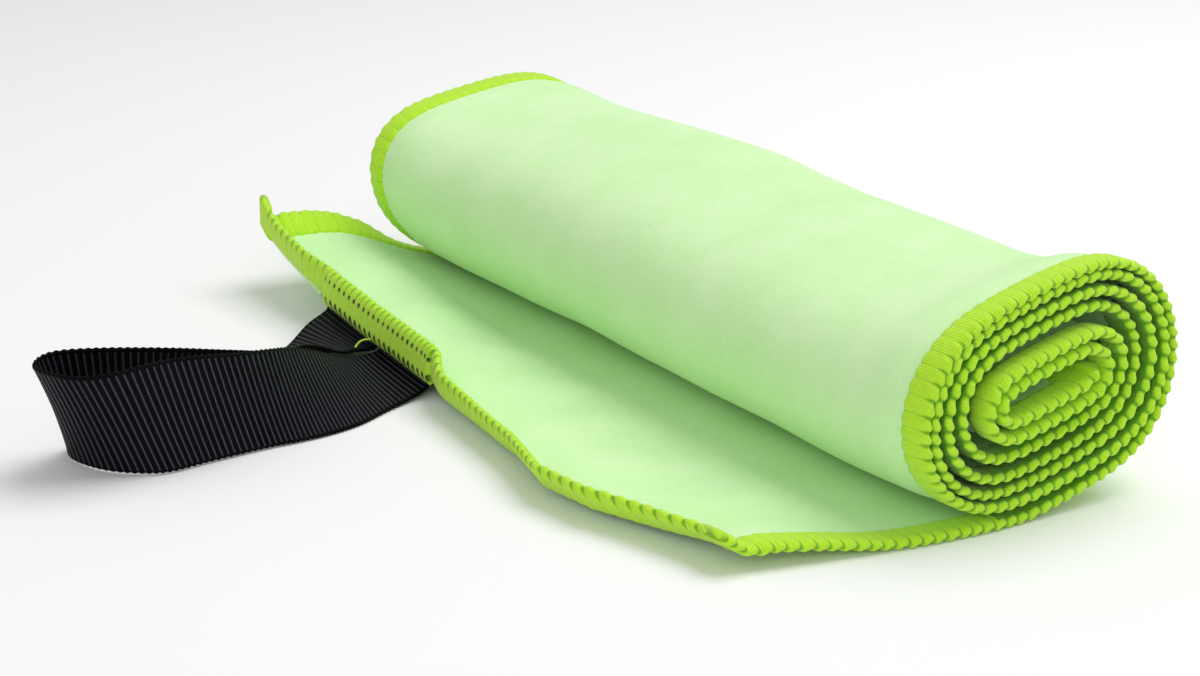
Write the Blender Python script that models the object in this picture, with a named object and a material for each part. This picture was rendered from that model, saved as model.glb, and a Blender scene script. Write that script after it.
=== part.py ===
"""Quick dry travel towel: suede microfibre, overlocked all round, loosely rolled, with a grosgrain hang loop.

Frame: metres. +X along the roll's axis, +Z up, -Y towards the free flap and its loop. The origin is on
the flat face that the roll rests on, under its lowest line, midway between its ends.

The whole towel is one mapping. place(x, s, d) gives the point at x across the towel, s along it from
the inner end, and d deep from the face that is outside on the roll and underneath on the flap.
Every cloth, hem and stitching piece is a section in those three numbers, so what fits together
follows the same sizes.
"""

import math

import bmesh
import bpy
from mathutils import Vector

# Cloth and its overlocked edge
TOWEL_WIDTH = 0.210
CLOTH_THICKNESS = 0.0008
HEM_WIDTH = 0.0066
HEM_WALL = 0.00035
HEM_RIM = 0.0012
FIT_GAP = 0.0003
HEM_THICKNESS = CLOTH_THICKNESS + 2 * HEM_WALL + 2 * FIT_GAP
CLOTH_INSET = HEM_WALL + FIT_GAP
CLOTH_RISE_LENGTH = 0.004

# Roll: a spiral that starts as a flat slot and ends as an oval
WRAPS = 6.25
WRAP_AIR = 0.00066
CORE_RADIUS = 0.00298
CORE_HALF_SLOT = 0.00846
OUTER_HALF_SLOT = 0.01073
ROLL_TILT = 0.23
LOOSE_GAP = 0.0024
LOOSE_FROM = 1.49
LOOSE_WRAPS = 1.48
CORE_OFFSET = (-0.0023, 0.0015)
SLOT_ROUNDNESS = 0.09
STATIONS_PER_WRAP = 24
SAG = 0.0004

# Flap: the last stretch, flat on the table, with its end curled up and its far corner lifted
FLAP_LENGTH = 0.0625
CURL_RADIUS = 0.0050
CURL_ANGLE = math.radians(62)
CURL_LENGTH = 0.0095
FAR_LIFT = 0.020
LIFT_FROM_X = 0.055
LIFT_RUN_Y = 0.024
FLAP_SHEAR = 0.20
FLAP_STEP = 0.0040
CURL_STEP = 0.0016

# Joint between roll and flap: a straight line across the towel's upper face, just outside the roll
SEAM_CLEAR_OF_ROLL = 0.004

# Hang loop
RIBBON_WIDTH = 0.0254
RIBBON_THICKNESS = 0.0008
RIBBON_SPACING = 0.0014
LOOP_CENTRE_X = -0.0370
ROOT_DROP = 0.0008
TAB_LENGTH = 0.0056
STITCH_OVERHANG = 0.0012


def smooth(t):
    t = min(1.0, max(0.0, t))
    return t * t * (3 - 2 * t)


# ---------------------------------------------------------------- the towel's surface


def spiral(n):
    """Outer face of the roll, n wraps out from the inner end, in the tilted frame of the slot."""
    angle = -2 * math.pi * n
    c, s = math.cos(angle), math.sin(angle)
    radius = CORE_RADIUS + HEM_THICKNESS / 2 + n * (HEM_THICKNESS + WRAP_AIR)
    radius += LOOSE_GAP * smooth((n - LOOSE_FROM) / LOOSE_WRAPS)
    out = n / WRAPS
    half_slot = CORE_HALF_SLOT + (OUTER_HALF_SLOT - CORE_HALF_SLOT) * out
    along = half_slot * c * math.sqrt((1 + SLOT_ROUNDNESS) / (c * c + SLOT_ROUNDNESS)) + radius * c
    across = radius * s
    y = CORE_OFFSET[0] * (1 - out) + along * math.cos(ROLL_TILT) - across * math.sin(ROLL_TILT)
    z = CORE_OFFSET[1] * (1 - out) + along * math.sin(ROLL_TILT) + across * math.cos(ROLL_TILT)
    return y, z


def roll_path():
    """Outer points, inward normals and mid-thickness lengths of the rolled stretch, to its lowest line."""
    count = round(WRAPS * STATIONS_PER_WRAP)
    steps = [k / STATIONS_PER_WRAP for k in range(count + 8)]
    raw = [spiral(n) for n in steps]
    last_wrap = range(len(raw) - STATIONS_PER_WRAP // 2, len(raw))
    low = min(last_wrap, key=lambda k: raw[k][1])
    y_low, z_low = raw[low]
    points = [(y - y_low, z - z_low - SAG) for y, z in raw[: low + 1]]
    grounded = STATIONS_PER_WRAP // 4
    points = [(y, max(z, 0.0) if k > low - grounded else z) for k, (y, z) in enumerate(points)]
    points[low] = (0.0, 0.0)
    normals = []
    for k in range(low + 1):
        y0, z0 = points[max(0, k - 1)]
        y1, z1 = points[min(low, k + 1)]
        length = math.hypot(y1 - y0, z1 - z0)
        normals.append(((z1 - z0) / length, -(y1 - y0) / length))
    normals[low] = (0.0, 1.0)
    half = HEM_THICKNESS / 2
    middle = [(y + ny * half, z + nz * half) for (y, z), (ny, nz) in zip(points, normals)]
    lengths = [0.0]
    for (y0, z0), (y1, z1) in zip(middle, middle[1:]):
        lengths.append(lengths[-1] + math.hypot(y1 - y0, z1 - z0))
    return points, normals, lengths


ROLL_POINTS, ROLL_NORMALS, ROLL_LENGTHS = roll_path()
ROLLED_LENGTH = ROLL_LENGTHS[-1]
TOWEL_LENGTH = ROLLED_LENGTH + FLAP_LENGTH
ROLL_LEFT = min(y for y, _ in ROLL_POINTS)
SEAM_Y = ROLL_LEFT - SEAM_CLEAR_OF_ROLL
SEAM_S = ROLLED_LENGTH - SEAM_Y


def lift(x, y):
    """Height of the flap's underside above the table: its far corner stands up."""
    t = max(0.0, LIFT_FROM_X - x) / (LIFT_FROM_X + TOWEL_WIDTH / 2)
    return FAR_LIFT * (0.75 * t**2 + 0.25 * t**8) * smooth((SEAM_Y - y) / LIFT_RUN_Y)


def flap_surface(x, v):
    """Underside of the flap, v out from the roll's lowest line."""
    flat = FLAP_LENGTH - CURL_LENGTH
    if v <= flat:
        y, z = -v, 0.0
    else:
        turn = min((v - flat) / CURL_RADIUS, CURL_ANGLE)
        rest = v - flat - CURL_RADIUS * turn
        y = -flat - CURL_RADIUS * math.sin(turn) - rest * math.cos(turn)
        z = CURL_RADIUS * (1 - math.cos(turn)) + rest * math.sin(turn)
    shear = FLAP_SHEAR * max(0.0, SEAM_Y - y)
    return Vector((x - shear, y, z + lift(x, y)))


def place(x, s, d):
    """The point at x across, s along and d deep in the towel."""
    if s > ROLLED_LENGTH:
        v = s - ROLLED_LENGTH
        h = 0.0002
        across = flap_surface(x + h, v) - flap_surface(x - h, v)
        along = flap_surface(x, v + h) - flap_surface(x, v - h)
        return flap_surface(x, v) + along.cross(across).normalized() * d
    k = 0
    while k < len(ROLL_LENGTHS) - 2 and ROLL_LENGTHS[k + 1] < s:
        k += 1
    t = (s - ROLL_LENGTHS[k]) / (ROLL_LENGTHS[k + 1] - ROLL_LENGTHS[k])
    y = ROLL_POINTS[k][0] * (1 - t) + ROLL_POINTS[k + 1][0] * t
    z = ROLL_POINTS[k][1] * (1 - t) + ROLL_POINTS[k + 1][1] * t
    ny = ROLL_NORMALS[k][0] * (1 - t) + ROLL_NORMALS[k + 1][0] * t
    nz = ROLL_NORMALS[k][1] * (1 - t) + ROLL_NORMALS[k + 1][1] * t
    size = math.hypot(ny, nz)
    return Vector((x, y + ny / size * d, z + nz / size * d))


# ---------------------------------------------------------------- building solids


def material(name, colour, roughness):
    made = bpy.data.materials.new(name)
    made.use_nodes = True
    shader = made.node_tree.nodes["Principled BSDF"]
    shader.inputs["Base Color"].default_value = (*colour, 1.0)
    shader.inputs["Roughness"].default_value = roughness
    shader.inputs["Metallic"].default_value = 0.0
    return made


def sweep(name, rings, finish):
    """A closed solid: the first ring is a face, extruded to each next ring in turn."""
    shape = bmesh.new()
    front = [shape.verts.new(point) for point in rings[0]]
    face = shape.faces.new(front)
    for count, ring in enumerate(rings[1:]):
        made = bmesh.ops.extrude_face_region(shape, geom=[face])["geom"]
        here = {tuple(item.co): item for item in made if isinstance(item, bmesh.types.BMVert)}
        front = [here[tuple(vertex.co)] for vertex in front]
        if count:
            bmesh.ops.delete(shape, geom=[face], context="FACES_ONLY")
        face = next(item for item in made if isinstance(item, bmesh.types.BMFace))
        for vertex, point in zip(front, ring):
            vertex.co = point
    bmesh.ops.recalc_face_normals(shape, faces=shape.faces)
    if shape.calc_volume(signed=True) < 0:
        bmesh.ops.reverse_faces(shape, faces=shape.faces)
    mesh = bpy.data.meshes.new(name)
    shape.to_mesh(mesh)
    shape.free()
    mesh.shade_smooth()
    mesh.set_sharp_from_angle(angle=math.radians(40))
    mesh.materials.append(finish)
    made = bpy.data.objects.new(name, mesh)
    bpy.context.scene.collection.objects.link(made)
    return made


def hang_from(child, pivot):
    """Parents a moving piece to an empty on its joint's axis, without moving it."""
    child.parent = pivot
    child.matrix_parent_inverse = pivot.matrix_world.inverted()


def axis_empty(name, point, parent=None):
    empty = bpy.data.objects.new(name, None)
    bpy.context.scene.collection.objects.link(empty)
    empty.location = point
    bpy.context.view_layer.update()
    if parent is not None:
        hang_from(empty, parent)
        bpy.context.view_layer.update()
    return empty


def spread(low, high, step):
    count = max(1, math.ceil((high - low) / step))
    return [low + (high - low) * k / count for k in range(count + 1)]


HALF = TOWEL_WIDTH / 2
CLOTH_HALF = HALF - HEM_RIM - FIT_GAP
CLOTH_FROM = HEM_RIM + FIT_GAP
CLOTH_TO = TOWEL_LENGTH - HEM_RIM - FIT_GAP


def cloth_depth(x, s):
    """How deep the cloth's outer face lies: inside the hem's wall at the edges, flush between them."""
    from_side = HALF - HEM_WIDTH - abs(x)
    from_end = min(s - HEM_WIDTH, TOWEL_LENGTH - HEM_WIDTH - s)
    return CLOTH_INSET * (1 - smooth(min(from_side, from_end) / CLOTH_RISE_LENGTH))


def cloth_columns(bounds):
    inner = HALF - HEM_WIDTH
    edge = [inner, inner - CLOTH_RISE_LENGTH / 2, inner - CLOTH_RISE_LENGTH, CLOTH_HALF]
    return sorted([-v for v in edge] + edge + bounds)


def cloth_slice(x, stations):
    """One lengthwise slice of the cloth."""
    under = [place(x, s, cloth_depth(x, s)) for s in stations]
    over = [place(x, s, cloth_depth(x, s) + CLOTH_THICKNESS) for s in stations]
    return under + over[::-1]


def hem_ring(side, s):
    """One slice of a side hem: a channel, open towards the cloth."""
    rim, web, lip = HALF, HALF - HEM_RIM, HALF - HEM_WIDTH
    section = [
        (lip, 0), (rim, 0), (rim, HEM_THICKNESS), (lip, HEM_THICKNESS),
        (lip, HEM_THICKNESS - HEM_WALL), (web, HEM_THICKNESS - HEM_WALL), (web, HEM_WALL), (lip, HEM_WALL),
    ]
    return [place(side * x, s, d) for x, d in section]


def end_ring(x, end, low, high):
    """One slice of an end hem or of the loop's stitching. end is +1 at the flap's end, -1 at the inner end."""
    edge = TOWEL_LENGTH if end > 0 else 0.0
    outer = [edge - end * s for s in spread(0, HEM_WIDTH, CURL_STEP)]
    inner = [edge - end * s for s in spread(HEM_RIM, HEM_WIDTH, CURL_STEP)]
    section = [(s, low) for s in outer[::-1]] + [(s, high) for s in outer]
    section += [(s, high - HEM_WALL) for s in inner[::-1]] + [(s, low + HEM_WALL) for s in inner]
    return [place(x, s, d) for s, d in section]


def rolled_stations():
    """Lengths from the inner end to the joint."""
    on_roll = [s for s in ROLL_LENGTHS if s > HEM_WIDTH + CLOTH_RISE_LENGTH]
    near_end = spread(CLOTH_FROM, HEM_WIDTH + CLOTH_RISE_LENGTH, CURL_STEP)
    return near_end + on_roll + spread(ROLLED_LENGTH, SEAM_S, FLAP_STEP)[1:]


def flap_stations():
    """Lengths from the joint to the end of the cloth."""
    curl = TOWEL_LENGTH - CURL_LENGTH
    return spread(SEAM_S + FIT_GAP, curl, FLAP_STEP) + spread(curl, CLOTH_TO, CURL_STEP)[1:]


# ---------------------------------------------------------------- the pieces


def build_cloth(finish):
    rolled = [cloth_slice(x, rolled_stations()) for x in cloth_columns([0.0])]
    flap_columns = cloth_columns(spread(-HALF + 0.02, HALF - 0.02, 0.014))
    flap = [cloth_slice(x, flap_stations()) for x in flap_columns]
    return sweep("rolled_cloth", rolled, finish), sweep("flap_cloth", flap, finish)


def build_side_hems(finish):
    """Each side hem runs the towel's whole length; the joint splits it in two."""
    on_roll = [0.0] + rolled_stations()
    on_flap = flap_stations() + [TOWEL_LENGTH]
    pieces = []
    for label, side in (("near", 1), ("far", -1)):
        rolled = [hem_ring(side, s) for s in on_roll]
        flap = [hem_ring(side, s) for s in on_flap]
        roll_piece = sweep(f"{label}_side_hem_roll", rolled, finish)
        pieces.append((roll_piece, sweep(f"{label}_side_hem_flap", flap, finish)))
    return pieces


def build_end_hems(finish, stitching_span):
    inside = HALF - HEM_WIDTH - FIT_GAP
    low, high = stitching_span
    inner = [end_ring(x, -1, 0, HEM_THICKNESS) for x in (-inside, inside)]
    near = [end_ring(x, 1, 0, HEM_THICKNESS) for x in spread(high + FIT_GAP, inside, 0.012)]
    far = [end_ring(x, 1, 0, HEM_THICKNESS) for x in spread(-inside, low - FIT_GAP, 0.006)]
    return (
        sweep("inner_end_hem", inner, finish),
        sweep("outer_end_hem_near", near, finish),
        sweep("outer_end_hem_far", far, finish),
    )


TAB_TOP = CLOTH_INSET - FIT_GAP
TAB_MIDDLE = TAB_TOP - RIBBON_THICKNESS / 2
TAB_UNDER = TAB_TOP - RIBBON_THICKNESS
STITCH_UNDER = TAB_UNDER - FIT_GAP - HEM_WALL
TAB_FROM = TOWEL_LENGTH - HEM_RIM - FIT_GAP
TAB_TO = TAB_FROM - TAB_LENGTH


def ribbon_span(side):
    """Where one ribbon end lies across the towel: side +1 is the near one."""
    middle = LOOP_CENTRE_X + side * (RIBBON_WIDTH + RIBBON_SPACING) / 2
    return middle - RIBBON_WIDTH / 2, middle + RIBBON_WIDTH / 2


def build_stitching(finish):
    """The overlock where it also holds the ribbon's ends against the underside."""
    low = ribbon_span(-1)[0] - STITCH_OVERHANG
    high = ribbon_span(1)[1] + STITCH_OVERHANG
    rings = [end_ring(x, 1, STITCH_UNDER, HEM_THICKNESS) for x in spread(low, high, 0.006)]
    return sweep("loop_stitching", rings, finish), (low, high)


def build_tab(name, side, finish):
    low, high = ribbon_span(side)
    rings = []
    for x in spread(low, high, 0.006):
        stations = spread(TAB_TO, TAB_FROM, CURL_STEP)
        under = [place(x, s, TAB_UNDER) for s in stations]
        over = [place(x, s, TAB_TOP) for s in stations]
        rings.append(under + over[::-1])
    return sweep(name, rings, finish)


def loop_root(side):
    """Where the free ribbon leaves the sewn line, under the stitching, and its direction across."""
    low, high = ribbon_span(side)
    depth = STITCH_UNDER - ROOT_DROP - RIBBON_THICKNESS / 2
    a, b = (place(x, TOWEL_LENGTH - HEM_WIDTH, depth) for x in (high, low))
    return (a + b) / 2, (b - a).normalized()


NEAR_ROOT, NEAR_ACROSS = loop_root(1)
FAR_ROOT, FAR_ACROSS = loop_root(-1)
LOOP_PIVOT = (NEAR_ROOT + FAR_ROOT) / 2

# Lower edge of the free ribbon, from the near tab round to the far one, and the direction from it
# across to the upper edge, which leans as the ribbon turns from lying flat to standing on its edge.
# The edge is set out for a sewn line with its middle at LOOP_SET_OUT_AT, and moves with that line.
LOOP_SET_OUT_AT = Vector((-0.042723, -0.056962, 0.0))
LOOP_SHIFT = Vector((LOOP_PIVOT.x, LOOP_PIVOT.y, 0.0)) - LOOP_SET_OUT_AT
LOOP_KEYS = [
    ((-0.0165, -0.0625, 0.0019), (-0.99, 0.0, 0.12)), ((-0.0136, -0.0680, 0.0012), (-0.97, 0.1, 0.20)),
    ((-0.0088, -0.0775, 0.0006), (-0.88, 0.03, 0.46)), ((-0.0067, -0.0900, 0.0004), (-0.42, -0.18, 0.89)),
    ((-0.0060, -0.1000, 0.0004), (-0.05, -0.28, 0.96)), ((-0.0050, -0.1120, 0.0004), (0.05, -0.29, 0.95)),
    ((-0.0055, -0.1215, 0.0004), (0.08, -0.32, 0.94)), ((-0.0095, -0.1285, 0.0004), (0.08, -0.36, 0.92)),
    ((-0.0165, -0.1330, 0.0004), (0.20, -0.36, 0.91)), ((-0.0250, -0.1340, 0.0004), (0.30, -0.30, 0.90)),
    ((-0.0300, -0.1290, 0.0004), (0.36, -0.20, 0.91)), ((-0.0300, -0.1200, 0.0004), (0.40, -0.05, 0.91)),
    ((-0.0310, -0.1100, 0.0004), (0.50, -0.08, 0.86)), ((-0.0360, -0.0990, 0.0004), (0.63, -0.04, 0.78)),
    ((-0.0450, -0.0880, 0.0004), (0.78, 0.0, 0.63)), ((-0.0540, -0.0780, 0.0008), (0.88, 0.04, 0.48)),
    ((-0.0625, -0.0690, 0.0035), (0.95, 0.03, 0.22)), ((-0.0670, -0.0625, 0.0068), (0.99, 0.0, -0.06)),
]
LOOP_SAMPLES = 4


def catmull(a, b, c, d, t):
    return 0.5 * (2 * b + (c - a) * t + (2 * a - 5 * b + 4 * c - d) * t * t + (3 * b - a - 3 * c + d) * t**3)


def loop_stations():
    """Lower edge and direction across of each slice of the free ribbon."""
    half = RIBBON_WIDTH / 2
    keys = [(NEAR_ROOT - NEAR_ACROSS * half, NEAR_ACROSS)]
    keys += [(Vector(edge) + LOOP_SHIFT, Vector(across)) for edge, across in LOOP_KEYS]
    keys.append((FAR_ROOT + FAR_ACROSS * half, -FAR_ACROSS))
    keys = [keys[0]] + keys + [keys[-1]]
    stations = []
    for k in range(len(keys) - 3):
        for j in range(LOOP_SAMPLES + (k == len(keys) - 4)):
            edge, across = (catmull(*column, j / LOOP_SAMPLES) for column in zip(*keys[k:k + 4]))
            stations.append((edge, across.normalized()))
    return stations


def build_loop(finish):
    stations = loop_stations()
    middles = [edge + across * RIBBON_WIDTH / 2 for edge, across in stations]
    rings = []
    last = len(stations) - 1
    for k, (edge, across) in enumerate(stations):
        along = middles[min(last, k + 1)] - middles[max(0, k - 1)]
        out = along.cross(across).normalized() * RIBBON_THICKNESS / 2
        far = edge + across * RIBBON_WIDTH
        rings.append([edge - out, far - out, far + out, edge + out])
    return sweep("hang_loop", rings, finish)


def main():
    for old in list(bpy.data.objects):
        bpy.data.objects.remove(old)
    suede = material("mint_suede", (0.62, 0.90, 0.48), 0.92)
    thread = material("lime_thread", (0.42, 0.72, 0.05), 0.80)
    ribbon = material("black_grosgrain", (0.012, 0.012, 0.016), 0.55)

    flap_pivot = axis_empty("flap_lift_axis", Vector((0, SEAM_Y, HEM_THICKNESS)))
    loop_pivot = axis_empty("loop_swing_axis", LOOP_PIVOT, flap_pivot)

    _, flap_cloth = build_cloth(suede)
    stitching, stitching_span = build_stitching(thread)
    _, hem_near, hem_far = build_end_hems(thread, stitching_span)
    on_flap = [flap_cloth, stitching, hem_near, hem_far]
    on_flap += [flap_piece for _, flap_piece in build_side_hems(thread)]
    on_flap.append(build_tab("near_loop_tab", 1, ribbon))
    on_flap.append(build_tab("far_loop_tab", -1, ribbon))
    for piece in on_flap:
        hang_from(piece, flap_pivot)
    hang_from(build_loop(ribbon), loop_pivot)
    bpy.context.view_layer.update()


main()
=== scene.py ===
"""Quick dry travel towel: suede microfibre loosely rolled, overlocked all round, with a grosgrain hang loop.

Metres. +X along the roll's axis, +Z up, -Y towards the free flap and its loop. The table is at z = 0. The
whole towel is one mapping: middle(x, s) is the middle of its thickness at x across and s along from the
inner end. In the names, near is +X and far is -X.
"""

import math

import bmesh
import bpy
import numpy as np
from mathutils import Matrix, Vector


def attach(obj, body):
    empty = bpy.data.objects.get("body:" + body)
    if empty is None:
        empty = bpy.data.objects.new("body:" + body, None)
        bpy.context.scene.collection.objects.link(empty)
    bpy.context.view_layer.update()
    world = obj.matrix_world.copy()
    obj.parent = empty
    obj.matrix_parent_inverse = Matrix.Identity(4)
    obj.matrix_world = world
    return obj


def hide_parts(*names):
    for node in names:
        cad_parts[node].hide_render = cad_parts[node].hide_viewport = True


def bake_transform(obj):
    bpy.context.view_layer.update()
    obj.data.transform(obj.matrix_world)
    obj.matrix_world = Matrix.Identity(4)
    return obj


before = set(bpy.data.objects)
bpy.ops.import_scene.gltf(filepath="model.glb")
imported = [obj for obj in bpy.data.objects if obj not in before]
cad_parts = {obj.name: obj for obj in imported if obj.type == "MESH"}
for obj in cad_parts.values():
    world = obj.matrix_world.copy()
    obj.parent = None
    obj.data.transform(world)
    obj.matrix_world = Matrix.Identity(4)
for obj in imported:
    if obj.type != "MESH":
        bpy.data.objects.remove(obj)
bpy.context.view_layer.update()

MM = 0.001

# Cloth, which stops CLOTH_EDGE in from the rim of the overlock
TOWEL_WIDTH = 0.210
HALF = TOWEL_WIDTH / 2
CLOTH_THICKNESS = 0.8 * MM
CLOTH_EDGE = 2.4 * MM

# Overlock, whose rim is rounded over RIM_DEPTH
HEM_WIDTH = 6.6 * MM
HEM_THICKNESS = 2.1 * MM
HALF_HEM = HEM_THICKNESS / 2
RIM_DEPTH = 1.9 * MM
SIDE_STITCH = 2.9 * MM
END_STITCH = 3.1 * MM
LOOP_STITCH = 2.5 * MM

# Roll: a tilted oval spiral, each wrap drawn out sideways by its half slot
WRAPS = 6.25
WRAP_PITCH = 2.97 * MM
CORE_RADIUS = 3.22 * MM
CORE_HALF_SLOT = 8.46 * MM
OUTER_HALF_SLOT = 10.73 * MM
SLOT_BLUNTNESS = 0.09
ROLL_TILT = 0.23

# The core lies off centre and reaches out of the near end. A loose gap opens after the first wraps
CORE_OFFSET_Y = -2.3 * MM
CORE_OFFSET_Z = 1.5 * MM
CORE_REACH = 2.6 * MM
LOOSE_GAP = 1.9 * MM
LOOSE_FROM = 1.49
LOOSE_OVER = 1.48

# The roll's underside is pressed flat, and its far end leans over the flap and flares
PRESSED_FLAT = 0.4 * MM
FAR_LEAN = 3.0 * MM
FAR_FLARE = 4.6 * MM
ROLL_HEIGHT = 0.048

# How far the top of the roll has settled, across the towel
SAG_AT = np.array([-105, -90, -75, -55, -30, -8, 8, 22, 45, 72, 84, 93, 100, 105]) / 1000
SAG = np.array([0, 1.9, 3.0, 2.7, 2.4, 3.1, 4.4, 5.3, 5.4, 6.1, 4.7, 1.5, -0.4, -0.8]) * MM

# Flap, whose last CURL_LENGTH turns up
FLAP_LENGTH = 62.5 * MM
CURL_LENGTH = 9.5 * MM
FLAT_LENGTH = FLAP_LENGTH - CURL_LENGTH

# How far out the curl begins, and how far it turns, across the towel
REACH_AT = np.array([-105, -85, -60, -20, 15, 40, 58, 72, 84, 96, 105]) / 1000
REACH = np.array([50.5, 51.8, 53.5, 54, 54.8, 56.6, 60.2, 58.2, 53.3, 49.8, 48.2]) / 1000
CURL_AT = np.array([-105, -92, -76, -64, -12, 0, 20, 50, 75, 98]) / 1000
CURL_DEGREES = [92, 82, 86, 108, 106, 80, 64, 56, 52, 48]

# Height of the flap's far edge off the table, by its distance from the roll's lowest line, in millimetres
FAR_EDGE_OUT = [0, 8, 13, 18, 26, 33.5, 40, 48, 55]
FAR_EDGE_HEIGHT = [0, 2.2, 3.8, 6.0, 9.4, 11.8, 12.8, 12.9, 13.0]

# Hang loop. The spans are where the ribbon's two ends, and the overlock over them, lie across the towel
RIBBON_WIDTH = 25.4 * MM
RIBBON_THICKNESS = 0.75 * MM
RIB_PITCH = 1.45 * MM
NEAR_RIBBON_END = (-36.5 * MM, -11.2 * MM)
FAR_RIBBON_END = (-63.2 * MM, -37.9 * MM)
LOOP_SPAN = (-HALF + 0.0415, -HALF + 0.0965)

# Camera, lights and world
CAMERA_AT = (0.3862, -0.2657, 0.1655)
CAMERA_LOOKS = (-0.8025, 0.5049, -0.3180)
CAMERA_LENS = 66.0
KEY_AT = (0.10, 0.42, 0.95)
KEY_SIZE = (0.8, 0.8)
KEY_POWER = 7.2
FILL_AT = (0.9, -0.8, 0.60)
FILL_SIZE = (0.9, 0.6)
FILL_POWER = 3.2
WORLD_STRENGTH = 0.50


def smooth(t):
    t = np.clip(t, 0.0, 1.0)
    return t * t * (3 - 2 * t)


def wave(*terms):
    """A sum of slow ripples."""
    return sum(size * np.sin(phase) for size, phase in terms)


# ---------------------------------------------------------------- the towel's middle surface

# s is the length along from the inner end, and n the wraps made by then. v is the length along the flap, and
# q the distance out from the roll's lowest line

def spiral(n):
    """Outer face of the roll, n wraps out from the inner end, as y and z."""
    angle = -2 * math.pi * n
    c, s = np.cos(angle), np.sin(angle)
    radius = CORE_RADIUS + n * WRAP_PITCH + LOOSE_GAP * smooth((n - LOOSE_FROM) / LOOSE_OVER)
    out = n / WRAPS
    half_slot = CORE_HALF_SLOT + (OUTER_HALF_SLOT - CORE_HALF_SLOT) * out
    along = half_slot * c * np.sqrt((1 + SLOT_BLUNTNESS) / (c * c + SLOT_BLUNTNESS)) + radius * c
    across = radius * s
    y = CORE_OFFSET_Y * (1 - out) + along * math.cos(ROLL_TILT) - across * math.sin(ROLL_TILT)
    z = CORE_OFFSET_Z * (1 - out) + along * math.sin(ROLL_TILT) + across * math.cos(ROLL_TILT)
    return y, z


def far_lean(x, z):
    """How far the roll's far end leans over the flap, at height z."""
    return FAR_LEAN * smooth((0.02 - x) / 0.125) * smooth(z / 0.020)


def roll_path():
    """Length, wraps, middle line and inward normal along the roll, ending on its lowest line."""
    n = np.arange(0, WRAPS + 0.12, 1 / 192)
    y, z = spiral(n)
    outer_half = len(n) // 2
    low = outer_half + int(np.argmin(z[outer_half:]))
    y, z, n = y[:low + 1] - y[low], z[:low + 1] - z[low] - PRESSED_FLAT, n[:low + 1]
    z = np.where(n > n[-1] - 0.25, np.maximum(z, 0), z)  # the last quarter wrap rests on the table
    dy, dz = np.gradient(y), np.gradient(z)
    size = np.hypot(dy, dz)
    ny, nz = dz / size, -dy / size
    y, z = y + ny * HEM_THICKNESS / 2, z + nz * HEM_THICKNESS / 2
    length = np.concatenate([[0], np.cumsum(np.hypot(np.diff(y), np.diff(z)))])
    return length, n, y, z, ny, nz


PATH_S, PATH_N, PATH_Y, PATH_Z, PATH_NY, PATH_NZ = roll_path()
ROLLED = PATH_S[-1]
LENGTH = ROLLED + FLAP_LENGTH

# The underside of the outer turn over the flap, which the flap's far edge stays below
UNDER_TURN = (PATH_N > 5.26) & (PATH_N < 5.5)
UNDER_Q = -PATH_Y[UNDER_TURN]
UNDER_Z = PATH_Z[UNDER_TURN]


def far_lift(x, q):
    """How far the flap stands off the table towards its far corner, q out from the roll's lowest line."""
    edge = np.interp(q / MM, FAR_EDGE_OUT, FAR_EDGE_HEIGHT) * MM
    under = np.interp(q, UNDER_Q + far_lean(-HALF, UNDER_Z), UNDER_Z, left=UNDER_Z[0], right=1.0)
    edge = np.minimum(edge, np.maximum(under - HEM_THICKNESS * 1.35, 0.0))
    t = np.clip((0.055 - x) / 0.160, 0, 1)
    by_roll = smooth((-x - 0.030) / 0.085) ** 1.3
    by_end = 0.75 * t**2 + 0.25 * t**8
    return edge * (by_roll + (by_end - by_roll) * smooth((q - 0.012) / 0.040))


def flap_middle(x, v):
    """Middle of the flap, v along from the roll's lowest line. q is how far out that comes to."""
    reach = np.interp(x, REACH_AT, REACH)
    curl = np.radians(np.interp(x, CURL_AT, CURL_DEGREES))
    radius = (4.2 - 2.4 * smooth((0.004 - x) / 0.014)) * MM
    q = reach * np.minimum(v, FLAT_LENGTH) / FLAT_LENGTH
    past = np.maximum(v - FLAT_LENGTH, 0.0)
    turn = np.minimum(past / radius, curl)
    straight = past - radius * turn
    q = q + radius * np.sin(turn) + straight * np.cos(turn)
    z = radius * (1 - np.cos(turn)) + straight * np.sin(turn)
    curling = smooth((v - FLAT_LENGTH + 0.004) / 0.008)

    # The near corner stands off the table. The cloth ripples, with one fold across towards the far side
    near_corner = smooth((x - 0.080) / 0.025)
    z = z * (1 - 0.35 * near_corner) + 2.2 * MM * near_corner * smooth((q - 0.024) / 0.03)
    ripple = wave((0.7, x * 66 + q * 60), (0.5, x * 121 - q * 95 + 1.3), (0.35, x * 240 + q * 40))
    ripple = (ripple + 1.5) * MM * smooth((q - 0.018) / 0.02) * (1 - 0.75 * curling)
    fold = 3.4 * MM * np.exp(-((x + 0.052 - 0.55 * (q - 0.03)) / 0.012) ** 2) * smooth((q - 0.02) / 0.015)
    fold = fold * (1 - smooth((q - 0.042) / 0.012))

    # The flap lies askew, drawn towards the far side as it runs out
    slant = 0.0052 * smooth(q / 0.012) * smooth((-x - 0.02) / 0.08)
    slant = slant + 0.0085 * (q / 0.058) ** 1.3 * smooth((x + 0.09) / 0.18)
    slant = slant + 0.003 * smooth((q - 0.01) / 0.05)

    # Its far side is lifted, and the overlock there turned up
    lift = far_lift(x, np.minimum(q, reach + 0.004))
    turned_up = smooth((-x - HALF + HEM_WIDTH) / HEM_WIDTH) * smooth((q - 0.016) / 0.012)
    lift = lift + 2.4 * MM * turned_up * (1 - 0.7 * curling)
    return np.stack([x - slant, -q, z + lift + ripple * 0.7 + fold * 0.6 + HALF_HEM], -1)


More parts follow.
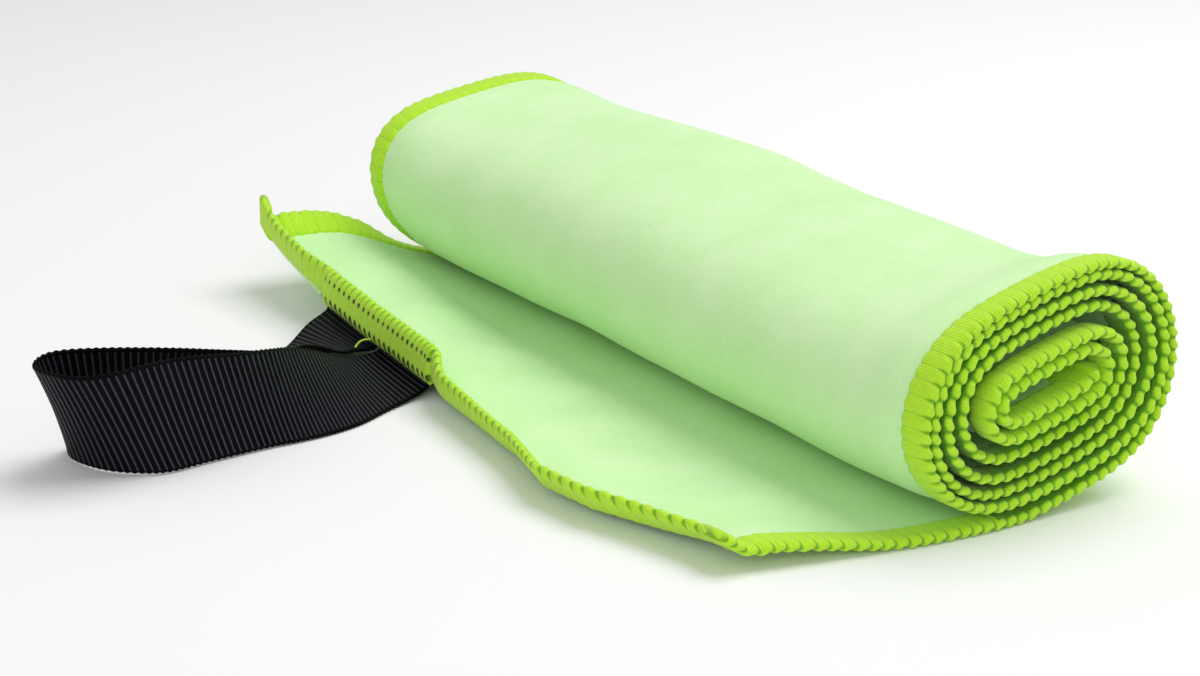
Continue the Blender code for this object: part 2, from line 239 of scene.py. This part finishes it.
def roll_middle(x, s):
    """Middle of the rolled cloth: the path, shifted across, moved inwards, leant over and settled."""
    n = np.interp(s, PATH_S, PATH_N)

    # Across: the core reaches out of the near end, and the turns round it drift
    core = CORE_REACH * (1 - smooth((n - 1.75) / 0.75))
    drift = wave((0.5, n * 5.1 + 0.4), (0.35, n * 11.3)) * MM
    drift = drift * smooth((n - 3.2) / 1.0) * smooth((ROLLED - s) / 0.04)

    # The hems draw the outer turn in at both ends
    rim = smooth((np.abs(x) - HALF + 0.014) / 0.014)
    beside = np.exp(-((np.abs(x) - HALF + 0.020) / 0.010) ** 2)
    tuck = 0.7 * MM * smooth((n - 5.0) / 0.4) - 0.25 * MM * beside
    tuck = tuck * np.where(n > 5.0, rim, 0) * smooth((PATH_N[-1] - n) / 0.25)

    # The outer turn is slack, and flares over the flap at the far end
    outer = smooth((n - 5.15) / 0.2) * smooth((6.05 - n) / 0.2)
    flare = FAR_FLARE * np.exp(-((n - 5.63) / 0.11) ** 2) * smooth((-x - 0.074) / 0.031)
    slack = outer * MM * wave((0.28, x * 38 + n * 4), (0.16, x * 95 - n * 9 + 2), (0.10, x * 170 + n * 15))
    inward = tuck + slack - flare
    y = np.interp(s, PATH_S, PATH_Y) + np.interp(s, PATH_S, PATH_NY) * inward
    z = np.interp(s, PATH_S, PATH_Z) + np.interp(s, PATH_S, PATH_NZ) * inward
    y = y - far_lean(x, z)
    z = z - np.interp(x, SAG_AT, SAG) * (np.maximum(z, 0) / ROLL_HEIGHT) ** 1.5
    return np.stack([x + core + drift, y, z], -1)


def middle(x, s):
    """Middle of the towel's thickness, at x across and s along."""
    x, s = np.broadcast_arrays(np.asarray(x, float), np.asarray(s, float))
    on_roll = roll_middle(x, np.minimum(s, ROLLED))
    on_flap = flap_middle(x, np.maximum(s - ROLLED, 0.0))
    return np.where((s <= ROLLED)[..., None], on_roll, on_flap)


def place(x, s, up):
    """The point at x across, s along and up towards the face that the roll hides."""
    step = 0.25 * MM
    across = middle(x + step, s) - middle(x - step, s)
    along = middle(x, s + step) - middle(x, s - step)
    normal = np.cross(along, across)
    normal /= np.linalg.norm(normal, axis=-1, keepdims=True)
    return middle(x, s) + normal * np.asarray(up)[..., None]


# ---------------------------------------------------------------- mesh helpers


def grid(columns, rows):
    """A flat bmesh grid, with each vertex's column and row counted from 0."""
    shape = bmesh.new()
    bmesh.ops.create_grid(shape, x_segments=columns - 1, y_segments=rows - 1, size=0.5)
    shape.verts.ensure_lookup_table()
    co = np.array([v.co for v in shape.verts])
    i = np.rint((co[:, 0] + 0.5) * (columns - 1)).astype(int)
    j = np.rint((co[:, 1] + 0.5) * (rows - 1)).astype(int)
    return shape, i, j


def lay(shape, name, points, uv, values=None):
    """Moves the grid's vertices to points, none below the table, and makes an object with a UV map and
    point attributes."""
    for vertex, point in zip(shape.verts, points):
        vertex.co = (point[0], point[1], max(point[2], 0.0))
    layer = shape.loops.layers.uv.new("cloth")
    for face in shape.faces:
        for loop in face.loops:
            loop[layer].uv = uv[loop.vert.index]
    mesh = bpy.data.meshes.new(name)
    shape.to_mesh(mesh)
    shape.free()
    mesh.shade_smooth()
    for key, value in (values or {}).items():
        mesh.attributes.new(key, "FLOAT", "POINT").data.foreach_set("value", value.astype(np.float32))
    made = bpy.data.objects.new(name, mesh)
    bpy.context.scene.collection.objects.link(made)
    return made


def close_tube(made):
    """Joins the long sides of a rolled-up grid, caps its ends and faces it outwards."""
    shape = bmesh.new()
    shape.from_mesh(made.data)
    bmesh.ops.remove_doubles(shape, verts=shape.verts, dist=1e-6)
    bmesh.ops.holes_fill(shape, edges=[e for e in shape.edges if e.is_boundary], sides=0)
    bmesh.ops.recalc_face_normals(shape, faces=shape.faces)
    if shape.calc_volume(signed=True) < 0:
        bmesh.ops.reverse_faces(shape, faces=shape.faces)
    shape.to_mesh(made.data)
    shape.free()
    made.data.shade_smooth()
    return made


def thicken(made, thickness):
    """Gives a sheet its thickness, half to each side."""
    solid = made.modifiers.new("thickness", "SOLIDIFY")
    solid.thickness = thickness
    solid.offset = 0.0
    return made


# ---------------------------------------------------------------- materials


class Nodes:
    """Short names for building a material's node tree."""

    def __init__(self, material):
        material.use_nodes = True
        self.material = material
        self.tree = material.node_tree
        self.shader = self.tree.nodes["Principled BSDF"]
        self.shader.inputs["Metallic"].default_value = 0.0

    def add(self, kind, inputs=None, **settings):
        node = self.tree.nodes.new(kind)
        for key, value in settings.items():
            setattr(node, key, value)
        for key, value in (inputs or {}).items():
            if isinstance(value, bpy.types.NodeSocket):
                self.tree.links.new(value, node.inputs[key])
            else:
                node.inputs[key].default_value = value
        return node

    def math(self, operation, a, b=0.0, clamp=False):
        return self.add("ShaderNodeMath", {0: a, 1: b}, operation=operation, use_clamp=clamp).outputs[0]

    def mix(self, share, a, b):
        node = self.add("ShaderNodeMix", {0: share, 6: a, 7: b}, data_type="RGBA")
        return node.outputs[2]

    def position(self):
        return self.add("ShaderNodeTexCoord").outputs["Object"]

    def cloth_uv(self):
        """The two sockets of the mesh's UV map: stitches or ribs along, then millimetres across."""
        uv = self.add("ShaderNodeUVMap", uv_map="cloth").outputs[0]
        return self.add("ShaderNodeSeparateXYZ", {0: uv}).outputs[:2]

    def attribute(self, name):
        return self.add("ShaderNodeAttribute", attribute_name=name).outputs["Fac"]

    def noise(self, where, scale, detail, roughness):
        inputs = {"Vector": where, "Scale": scale, "Detail": detail, "Roughness": roughness}
        return self.add("ShaderNodeTexNoise", inputs).outputs["Fac"]

    def ramp(self, value, low, high, a=0.0, b=1.0):
        node = self.add("ShaderNodeMapRange", {0: value, 1: low, 2: high, 3: a, 4: b})
        return node.outputs[0]

    def bump(self, height, distance, strength=1.0, normal=None):
        inputs = {"Height": height, "Distance": distance, "Strength": strength}
        if normal is not None:
            inputs["Normal"] = normal
        return self.add("ShaderNodeBump", inputs).outputs[0]

    def put(self, socket, value):
        if isinstance(value, bpy.types.NodeSocket):
            self.tree.links.new(value, self.shader.inputs[socket])
        else:
            self.shader.inputs[socket].default_value = value


# Colours
SUEDE_LIGHT = (0.69, 0.93, 0.54, 1)
SUEDE_DEEP = (0.57, 0.88, 0.41, 1)
LIME = (0.43, 0.79, 0.012, 1)
LIME_LIGHT = (0.60, 0.90, 0.06, 1)
# Painted shade for the overlock thread, in its creases and where turns or cloth hide it
LIME_PAINTED_SHADE = (0.035, 0.25, 0.002, 1)
RIBBON_BLACK = (0.0012, 0.0012, 0.0020, 1)
# Painted highlight for the ribbon's rib tops
RIBBON_PAINTED_HIGHLIGHT = (0.078, 0.082, 0.108, 1)
RIBBON_IN_HOLE = (0.010, 0.022, 0.006, 1)
FLOOR_WHITE = (0.93, 0.93, 0.93, 1)

# Needle rows over the ribbon's ends, in millimetres: how far in from the rim, and the holes' radius
NEEDLE_ROWS = ((5.6, 0.70), (2.0, 0.52))
STRANDS_PER_STITCH = 5


def suede():
    """Brushed suede: soft light and dark patches over a fine nap."""
    n = Nodes(bpy.data.materials.new("mint suede microfibre"))
    where = n.position()
    brushed = n.noise(where, 55.0, 4.0, 0.6)
    fine = n.noise(where, 2600.0, 2.0, 0.6)
    speck = n.noise(where, 900.0, 3.0, 0.7)
    patches = n.ramp(brushed, 0.35, 0.65, 0.0, 0.55)
    tone = n.math("ADD", patches, n.ramp(speck, 0.3, 0.7, 0.0, 0.45), True)
    n.put("Base Color", n.mix(tone, SUEDE_DEEP, SUEDE_LIGHT))
    n.put("Roughness", 0.95)
    n.put("Specular IOR Level", 0.15)
    n.put("Sheen Weight", 0.22)
    n.put("Sheen Roughness", 0.45)
    n.put("Sheen Tint", (0.85, 1.0, 0.75, 1))
    grain = n.bump(fine, 0.00012, 0.5)
    n.put("Normal", n.bump(speck, 0.00018, 0.35, grain))
    return n.material


def overlock():
    """Bulky overlock thread with fine twisted filaments, and painted shade in deep green in the creases
    between stitches.
    """
    n = Nodes(bpy.data.materials.new("lime overlock thread"))
    stitches, _ = n.cloth_uv()
    strands = n.math("SINE", n.math("MULTIPLY", stitches, 2 * math.pi * STRANDS_PER_STITCH))
    fuzz = n.noise(n.position(), 1500.0, 3.0, 0.65)
    tone = n.ramp(fuzz, 0.3, 0.7)
    colour = n.mix(n.math("MULTIPLY", tone, 0.55), LIME, LIME_LIGHT)
    # Painted shade: the thread is mixed towards deep green where the ridge attribute is low
    crease_shade = n.ramp(n.attribute("ridge"), 0.10, 0.62, 1.0, 0.0)
    n.put("Base Color", n.mix(n.math("MULTIPLY", crease_shade, 0.85), colour, LIME_PAINTED_SHADE))
    n.put("Roughness", 0.72)
    n.put("Specular IOR Level", 0.25)
    n.put("Sheen Weight", 0.35)
    n.put("Sheen Roughness", 0.5)
    n.put("Sheen Tint", (0.9, 1.0, 0.5, 1))
    grain = n.bump(fuzz, 0.00018, 0.5)
    n.put("Normal", n.bump(strands, 0.00010, 0.45, grain))
    return n.material


def sewn_overlock():
    """The overlock over the ribbon's ends, with the black ribbon showing through its needle holes."""
    n = Nodes(overlock())
    n.material.name = "lime overlock over ribbon"
    stitches, inward = n.cloth_uv()
    share = n.math("FRACT", stitches)
    off = n.math("MULTIPLY", n.math("MINIMUM", share, n.math("SUBTRACT", 1.0, share)), LOOP_STITCH / MM)
    holes = []
    for row, radius in NEEDLE_ROWS:
        away = n.math("SUBTRACT", inward, row)
        squares = n.math("ADD", n.math("MULTIPLY", off, off), n.math("MULTIPLY", away, away))
        holes.append(n.ramp(n.math("SQRT", squares), radius * 0.7, radius * 1.15, 1.0, 0.0))
    dark = n.math("MULTIPLY", n.math("MAXIMUM", *holes), n.attribute("under"))
    thread = n.shader.inputs["Base Color"].links[0].from_socket
    n.put("Base Color", n.mix(dark, thread, RIBBON_IN_HOLE))
    return n.material


def grosgrain():
    """Black ribbon with a painted highlight in grey along the tops of its ribs."""
    n = Nodes(bpy.data.materials.new("black grosgrain ribbon"))
    ribs, across = n.cloth_uv()
    warp = n.math("SINE", n.math("MULTIPLY", across, 2 * math.pi * 2.6))
    weft = n.math("SINE", n.math("MULTIPLY", ribs, 2 * math.pi))
    fuzz = n.noise(n.position(), 1900.0, 2.0, 0.6)
    # Painted highlight: the rib tops are mixed towards grey, by the ridge attribute
    light = n.math("MULTIPLY", n.ramp(n.attribute("ridge"), 0.86, 1.0), n.ramp(fuzz, 0.25, 0.75, 0.55, 1.0))
    n.put("Base Color", n.mix(light, RIBBON_BLACK, RIBBON_PAINTED_HIGHLIGHT))
    n.put("Roughness", 0.48)
    n.put("Specular IOR Level", 0.05)
    grain = n.bump(warp, 0.00006, 0.5)
    n.put("Normal", n.bump(n.math("ADD", weft, n.math("MULTIPLY", fuzz, 0.6)), 0.00008, 0.4, grain))
    return n.material


SUEDE = suede()
OVERLOCK = overlock()
SEWN = sewn_overlock()
GROSGRAIN = grosgrain()


# ---------------------------------------------------------------- cloth


def stations(low, high, step):
    """Values from low to high, about step apart."""
    return np.linspace(low, high, max(2, int(round((high - low) / step)) + 1))


def build_cloth():
    """The towel's one panel, with finer columns beside its hems and finer rows on the flap."""
    inside = HALF - CLOTH_EDGE
    by_hem = HALF - 0.016
    x_at = np.concatenate([stations(-inside, -by_hem, 0.0012), stations(-by_hem, by_hem, 0.0026)[1:-1],
                           stations(by_hem, inside, 0.0012)])
    s_at = np.concatenate([stations(CLOTH_EDGE, ROLLED, 0.0021),
                           stations(ROLLED, LENGTH - CLOTH_EDGE, 0.0011)[1:]])
    shape, i, j = grid(len(x_at), len(s_at))
    x, s = x_at[i], s_at[j]
    edge = np.minimum(HALF - HEM_WIDTH - np.abs(x), np.minimum(s, LENGTH - s) - HEM_WIDTH)
    puff = -(HEM_THICKNESS - CLOTH_THICKNESS) / 2 * smooth(edge / 0.005) * np.where(s < ROLLED, 1, 0.3)
    made = lay(shape, "towel_cloth", place(x, s, puff), np.stack([x + HALF, s], -1))
    made.data.materials.append(SUEDE)
    return thicken(made, CLOTH_THICKNESS)


# ---------------------------------------------------------------- overlocked edges


def hem_section(around, low, high):
    """Closed cross-section of an overlocked edge, round from its lip: distance in from the rim, and height."""
    face = np.linspace(HEM_WIDTH, RIM_DEPTH, (around - 8) // 2)
    turn = np.linspace(-math.pi / 2, math.pi / 2, 9)[1:-1]
    middle_height, half = (low + high) / 2, (high - low) / 2
    inward = np.concatenate([face, RIM_DEPTH * (1 - np.cos(turn)),
                             face[::-1], [HEM_WIDTH + 0.2 * MM, HEM_WIDTH]])
    height = np.concatenate([np.full(len(face), low), middle_height + half * np.sin(turn),
                             np.full(len(face), high), [middle_height, low]])
    lip = smooth((inward - HEM_WIDTH + 1.4 * MM) / (1.4 * MM))
    height = middle_height + (height - middle_height) * (1 - 0.45 * lip)
    return inward, height


def stitched(name, along, pitch, to_towel, low, high, around, per_stitch, bulk=1.0, shade_between_turns=None):
    """An overlocked edge: a tube whose surface rises and falls with each stitch.

    along is the stretch sewn, in metres; to_towel(u, inward, height) gives the place of a point u along.
    The tube has about around points round it and per_stitch along each stitch, and lies from low to high.
    Its last argument, called with u and under, is 1 where the face, under or over the towel, lies hidden
    between two turns, and there the thread gets painted shade.
    """
    flat_inward, flat_height = hem_section(around, low, high)
    count = int(round(abs(along[1] - along[0]) / pitch))
    shape, i, j = grid(len(flat_inward), count * per_stitch + 1)
    stitch = j / per_stitch
    u = along[0] + (along[1] - along[0]) * stitch / count
    flat_inward, flat_height = flat_inward[i], flat_height[i]
    inward, height = flat_inward, flat_height

    # Each stitch is a slanting ridge across both faces and round the rim, and no two are quite alike
    mid = (low + high) / 2
    side = np.sign(height - mid)
    rim = 1 - smooth(inward / (2.2 * MM))
    slant = 0.10 * side * (1 - rim) + 0.10 * rim * (height - mid) / (high - mid)
    wobble = 0.06 * np.sin(stitch * 1.7) + 0.05 * np.sin(stitch * 0.61 + 1)
    phase = stitch + slant + wobble
    ridge = np.abs(np.sin(math.pi * phase)) ** 0.8
    swell = 1 + 0.15 * np.sin(np.floor(phase) * 2.3)

    # The faces rise over the stitches, the threads knot and cross at the rim, and the lip is scalloped
    lip = smooth((inward - HEM_WIDTH + 1.6 * MM) / (1.6 * MM))
    rise = (0.11 * ridge - 0.07) * swell * (1 - 0.5 * lip) * bulk * MM
    height = height + side * rise * np.where(np.abs(height - mid) > 0.3 * (high - mid), 1, 0.3)
    purl = rim * (0.40 * ridge - 0.16) * MM * bulk
    weave = 0.24 * MM * bulk * rim * np.sin(2 * math.pi * (stitch + wobble))
    inward = inward - purl + np.where(flat_inward > HEM_WIDTH - 1.2 * MM, (0.45 * ridge - 0.45) * MM, 0)
    height = height + weave

    # ridge carries the thread's painted light and shade: 1 lit on top of a stitch, 0 in painted shade in a
    # crease or out of the light
    under = np.where(flat_height < mid, 1.0, 0.0)
    # Painted shade: dimmer on the inner edge tucked under the cloth, and deep green where a face lies between
    # turns
    painted_lighting = np.where(flat_inward > HEM_WIDTH + 0.1 * MM, 0.3, 1.0)
    if shade_between_turns is not None:
        painted_lighting = painted_lighting * (1 - 0.95 * shade_between_turns(u, under) * smooth((flat_inward - 0.25 * MM) / (0.9 * MM)))
    tone = rim * ridge + (1 - rim) * (0.45 + 0.55 * ridge)
    values = {"ridge": np.clip(tone * painted_lighting, 0, 1), "under": under}
    uv = np.stack([stitch + slant, flat_inward / MM], -1)
    made = lay(shape, name, to_towel(u, inward, height), uv, values)
    made = close_tube(made)
    made.data.materials.append(OVERLOCK)
    return made


def side_edge(name, side, per_stitch, around, bulk=1.0):
    """The overlock of one whole side, near (1) or far (-1), rolled up with the cloth."""
    def to_towel(s, inward, height):
        return place(side * (HALF - inward), s, height)

    # Painted shade past the core wraps, where the hem lies between two turns: not on the outer turn's
    # underside, nor on the flap
    def shade_between_turns(s, under):
        n = np.interp(s, PATH_S, PATH_N)
        past_core = smooth((n - 1.7) / 0.4)
        outer_turn = smooth((n - 5.0) / 0.3)
        return np.where(s > ROLLED, 0.0, past_core * np.where(under > 0.5, 1 - outer_turn, 1.0))

    span = (0.0, LENGTH)
    return stitched(name, span, SIDE_STITCH, to_towel, -HALF_HEM, HALF_HEM, around, per_stitch, bulk, shade_between_turns)


def end_edge(name, low_x, high_x, outer, low=-HALF_HEM, pitch=END_STITCH, bulk=1.0, widen=1.0):
    """The overlock of the outer or the inner end, from low_x to high_x across."""
    def to_towel(x, inward, height):
        return place(x, LENGTH - inward * widen if outer else inward, height)

    return stitched(name, (low_x, high_x), pitch, to_towel, low, HALF_HEM, 30, 14, bulk)


# ---------------------------------------------------------------- hang loop

# Lower and upper edges of the ribbon in millimetres, from the near sewn end round to the far one
RIBBON_EDGES = [
    ((-15.8, -61.4, 0.9), (-40.4, -61.6, 3.6)),
    ((-13.3, -67.7, 0.5), (-37.2, -67.5, 5.2)), ((-8.8, -76.9, 0.4), (-30.5, -76.2, 10.2)),
    ((-6.9, -85.0, 0.4), (-21.5, -86.5, 15.6)), ((-6.6, -92.0, 0.4), (-12.8, -95.6, 19.4)),
    ((-6.9, -99.5, 0.4), (-6.6, -105.6, 22.2)), ((-6.0, -112.1, 0.4), (-4.4, -119.4, 24.2)),
    ((-5.2, -121.0, 0.4), (-3.4, -129.6, 24.0)), ((-8.2, -127.0, 0.4), (-5.2, -136.6, 23.4)),
    ((-14.0, -132.2, 0.4), (-9.8, -141.4, 23.6)), ((-22.5, -135.0, 0.4), (-16.6, -143.2, 23.7)),
    ((-28.8, -132.6, 0.4), (-20.8, -138.6, 24.2)), ((-30.6, -125.5, 0.4), (-20.6, -129.5, 23.5)),
    ((-31.0, -112.5, 0.4), (-18.6, -114.5, 21.4)), ((-36.0, -99.5, 0.4), (-19.6, -101.0, 18.2)),
    ((-45.0, -88.5, 0.4), (-24.2, -88.5, 14.4)), ((-54.0, -78.5, 0.6), (-31.5, -77.5, 11.6)),
    ((-61.4, -69.4, 1.6), (-38.0, -67.5, 6.4)), ((-66.4, -62.2, 4.0), (-42.4, -61.2, 4.2)),
]


def sewn_rows(lower_x, upper_x):
    """The free ribbon's edges where it comes out from under the stitching, from the hidden row outwards."""
    rows = []
    for back, under in ((6.2 * MM, 0.45 * MM), (8.3 * MM, 0.65 * MM)):
        rows.append(np.concatenate([place(x, LENGTH - back, -HALF_HEM - under) for x in (lower_x, upper_x)]))
    return rows


def catmull_rows(table, count):
    """Rows of a table of 3-D keys resampled evenly by the length of their middle line."""
    keys = np.concatenate([table[:1], table, table[-1:]])
    rows = []
    for k in range(len(table) - 1):
        a, b, c, d = keys[k:k + 4]
        t = np.linspace(0, 1, 40, endpoint=False)[:, None]
        rows.append(0.5 * (2 * b + (c - a) * t + (2 * a - 5 * b + 4 * c - d) * t**2
                           + (3 * b - a - 3 * c + d) * t**3))
    rows = np.concatenate(rows + [table[-1:]])
    mid = (rows[:, :3] + rows[:, 3:]) / 2
    length = np.concatenate([[0], np.cumsum(np.linalg.norm(np.diff(mid, axis=0), axis=1))])
    at = np.linspace(0, length[-1], count)
    return np.stack([np.interp(at, length, rows[:, k]) for k in range(6)], -1), length[-1]


def build_loop():
    """The free ribbon, and its length. t runs from its lower edge to its upper one."""
    table = np.array([[*lower, *upper] for lower, upper in RIBBON_EDGES]) * MM
    near_rows = sewn_rows(*NEAR_RIBBON_END[::-1])
    far_rows = sewn_rows(*FAR_RIBBON_END)[::-1]
    table = np.concatenate([near_rows, table, far_rows])
    _, total = catmull_rows(table, 10)
    ribs = int(round(total / RIB_PITCH))
    per_rib = 6
    rows, total = catmull_rows(table, ribs * per_rib + 1)

    # The section, closer stationed by the selvedges, runs along one face and back along the other
    width = RIBBON_WIDTH / MM
    across = [[0, 0.35, 0.7, 1.0], np.linspace(1.6, 23.8, 13), [24.4, 24.7, 25.05, width]]
    across = np.concatenate(across) / width
    section = np.concatenate([across, across[::-1]])
    face = np.concatenate([np.ones(len(across)), -np.ones(len(across))])
    section, face = np.append(section, section[0]), np.append(face, face[0])
    shape, i, j = grid(len(section), len(rows))
    t = section[i]

    lower, upper = rows[:, :3], rows[:, 3:]
    along = np.gradient((lower + upper) / 2, axis=0)
    normal = np.cross(along, upper - lower)
    normal /= np.linalg.norm(normal, axis=1, keepdims=True)
    rib = np.abs(np.sin(math.pi * j / per_rib)) ** 0.8
    from_edge = np.minimum(t, 1 - t) * RIBBON_WIDTH
    edge_round = np.sqrt(np.clip(from_edge / (0.5 * MM), 0.0, 1.0))
    selvedge = np.exp(-((from_edge - 0.55 * MM) / (0.35 * MM)) ** 2)
    valley = 0.14 * MM * (1 - rib) * smooth(from_edge / (1.2 * MM))
    half = RIBBON_THICKNESS / 2 * (0.35 + 0.65 * edge_round) - valley + 0.08 * MM * selvedge
    nub = 0.16 * MM * np.sin(2 * math.pi * j / per_rib) * (from_edge < 0.2 * MM)
    crown = 0.5 * MM * (1 - (2 * t - 1) ** 2) * np.sin(math.pi * j / (len(rows) - 1)) ** 0.5
    base = lower[j] + (upper - lower)[j] * (t + nub * np.sign(t - 0.5) / RIBBON_WIDTH)[:, None]
    points = base + normal[j] * (face[i] * half + crown)[:, None]
    # ridge places the ribbon's painted highlight on its rib tops, fainter by the selvedges
    values = {"ridge": rib * (0.55 + 0.45 * smooth(from_edge / (0.9 * MM)))}
    made = lay(shape, "hang_loop_ribbon", points, np.stack([j / per_rib, t * width], -1), values)
    made = close_tube(made)
    made.data.materials.append(GROSGRAIN)
    return made, total


def build_sewn_end(name, low, high):
    """A ribbon end under the overlock, flat against the underside."""
    columns, rows = 30, 12
    shape, i, j = grid(columns, rows)
    x = low + (high - low) * i / (columns - 1)
    s = LENGTH - 1.6 * MM - 5.4 * MM * j / (rows - 1)
    # ridge places the painted highlight on the sewn end's ribs
    made = lay(shape, name, place(x, s, -HALF_HEM - 0.15 * MM), np.stack([j * 0.5, (x - low) / MM], -1),
               {"ridge": np.abs(np.sin(math.pi * j * 0.5))})
    made.data.materials.append(GROSGRAIN)
    return thicken(made, RIBBON_THICKNESS * 0.8)


def build_thread_tail():
    """The loose end of thread between the two ribbon ends."""
    curve = bpy.data.curves.new("thread_tail", "CURVE")
    curve.dimensions = "3D"
    curve.bevel_depth = 0.22 * MM
    curve.bevel_resolution = 3
    curve.use_fill_caps = True
    line = curve.splines.new("POLY")
    start = place(NEAR_RIBBON_END[0], LENGTH - HEM_WIDTH, -HALF_HEM - 1.2 * MM)
    steps = np.linspace(0, 1, 14)
    line.points.add(len(steps) - 1)
    for target, t in zip(line.points, steps):
        offset = (-1.2 * math.sin(2.4 * t), -3.6 * t, 0.5 * math.sin(3 * t) - 1.6 * t)
        target.co = (*(start + np.array(offset) * MM), 1)
    made = bpy.data.objects.new("thread_tail", curve)
    bpy.context.scene.collection.objects.link(made)
    bpy.context.view_layer.update()
    mesh = bpy.data.meshes.new_from_object(made)
    bpy.data.objects.remove(made)
    made = bpy.data.objects.new("thread_tail", mesh)
    bpy.context.scene.collection.objects.link(made)
    # A ridge of 0.8 keeps the whole tail clear of the overlock's painted shade
    ridge = mesh.attributes.new("ridge", "FLOAT", "POINT")
    ridge.data.foreach_set("value", np.full(len(mesh.vertices), 0.8, np.float32))
    mesh.materials.clear()
    mesh.materials.append(OVERLOCK)
    return made


# ---------------------------------------------------------------- assembly

cloth = build_cloth()
near_edge = side_edge("near_side_overlock", 1, per_stitch=13, around=26)
far_edge = side_edge("far_side_overlock", -1, per_stitch=10, around=20, bulk=0.6)
inner_end = end_edge("inner_end_overlock", -HALF + 5 * MM, HALF - 5 * MM, outer=False)
outer_far = end_edge("outer_end_overlock_far", -HALF + 1 * MM, LOOP_SPAN[0], outer=True, bulk=0.75)
outer_near = end_edge("outer_end_overlock_near", LOOP_SPAN[1], HALF - 1 * MM, outer=True, bulk=0.75)
sewn = end_edge("loop_overlock", *LOOP_SPAN, outer=True, low=-HALF_HEM - 0.9 * MM,
                pitch=LOOP_STITCH, widen=1.18)
sewn.data.materials.clear()
sewn.data.materials.append(SEWN)
loop, RIBBON_LENGTH = build_loop()
near_end = build_sewn_end("near_ribbon_end", *NEAR_RIBBON_END)
far_end = build_sewn_end("far_ribbon_end", *FAR_RIBBON_END)
tail = build_thread_tail()

for piece in (cloth, near_edge, far_edge):
    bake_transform(piece)
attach(inner_end, "roll")
for piece in (outer_far, outer_near, sewn, near_end, far_end, tail):
    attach(piece, "flap")
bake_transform(loop)

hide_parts("rolled_cloth", "flap_cloth")
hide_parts("near_side_hem_roll", "near_side_hem_flap")
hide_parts("far_side_hem_roll", "far_side_hem_flap")
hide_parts("inner_end_hem")
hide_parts("outer_end_hem_far")
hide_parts("outer_end_hem_near")
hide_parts("loop_stitching")
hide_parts("near_loop_tab")
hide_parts("far_loop_tab")
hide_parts("hang_loop")


# ---------------------------------------------------------------- floor, light and camera


def build_floor():
    shape = bmesh.new()
    bmesh.ops.create_grid(shape, x_segments=1, y_segments=1, size=3.0)
    mesh = bpy.data.meshes.new("floor")
    shape.to_mesh(mesh)
    shape.free()
    floor = bpy.data.objects.new("floor", mesh)
    floor.location.z = -0.05 * MM  # a hair below the towel, so that the two don't touch
    bpy.context.scene.collection.objects.link(floor)
    n = Nodes(bpy.data.materials.new("pale floor"))
    n.put("Base Color", FLOOR_WHITE)
    n.put("Roughness", 0.9)
    n.put("Specular IOR Level", 0.1)
    mesh.materials.append(n.material)


def area_light(name, location, target, size, power):
    data = bpy.data.lights.new(name, "AREA")
    data.shape = "RECTANGLE"
    data.size, data.size_y = size
    data.energy = power
    light = bpy.data.objects.new(name, data)
    light.location = location
    light.rotation_euler = (Vector(target) - Vector(location)).to_track_quat("-Z", "Y").to_euler()
    bpy.context.scene.collection.objects.link(light)


def build_lights():
    world = bpy.data.worlds.new("studio")
    world.use_nodes = True
    background = world.node_tree.nodes["Background"]
    background.inputs["Color"].default_value = (1, 1, 1, 1)
    background.inputs["Strength"].default_value = WORLD_STRENGTH
    bpy.context.scene.world = world
    area_light("key", KEY_AT, (0, 0, 0.02), KEY_SIZE, KEY_POWER)
    area_light("fill", FILL_AT, (0, -0.03, 0.02), FILL_SIZE, FILL_POWER)


def build_camera():
    data = bpy.data.cameras.new("camera")
    data.lens = CAMERA_LENS
    data.sensor_width = 36.0
    data.clip_start, data.clip_end = 0.01, 20
    camera = bpy.data.objects.new("camera", data)
    camera.location = CAMERA_AT
    camera.rotation_mode = "QUATERNION"
    camera.rotation_quaternion = Vector(CAMERA_LOOKS).to_track_quat("-Z", "Y")
    bpy.context.scene.collection.objects.link(camera)
    bpy.context.scene.camera = camera


build_floor()
build_lights()
build_camera()
bpy.context.scene.view_settings.view_transform = "Standard"
